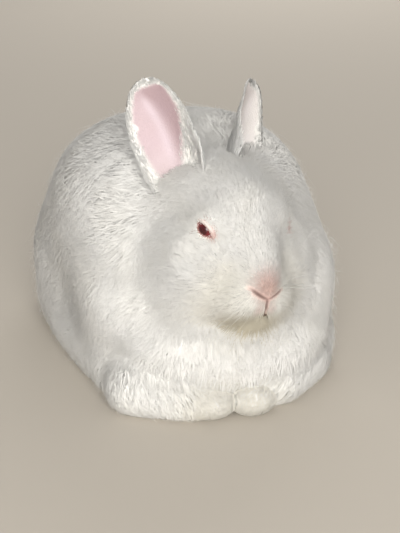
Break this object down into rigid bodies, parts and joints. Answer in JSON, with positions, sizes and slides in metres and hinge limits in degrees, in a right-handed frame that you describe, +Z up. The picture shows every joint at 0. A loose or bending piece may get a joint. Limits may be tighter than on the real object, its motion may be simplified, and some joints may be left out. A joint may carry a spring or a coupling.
{
  "type": "angora rabbit",
  "caption": "Long-haired white rabbit lying at rest with its head up and turned, ears raised and forepaws drawn together, a still life-size model.",
  "frame": {"origin": "on the floor under the belly, midway between the sides", "axes": "the rabbit faces -Y, its left side is +X, +Z is up"},
  "size_m": [0.2252, 0.3323, 0.2312],
  "materials": {
    "wool": "matte",
    "short_fur": "matte",
    "ear_skin": "matte",
    "eye": "gloss"
  },
  "bodies": {
    "root": {"torso": "wool", "chest": "wool", "neck": "wool", "tail": "wool", "foreleg_right": "wool", "foreleg_left": "wool", "haunch_right": "wool", "haunch_left": "wool", "hind_foot_right": "short_fur", "hind_foot_left": "short_fur", "head": "short_fur", "ear_right": "ear_skin", "ear_left": "ear_skin", "eye_right": "eye", "eye_left": "eye"}
  },
  "joints": []
}
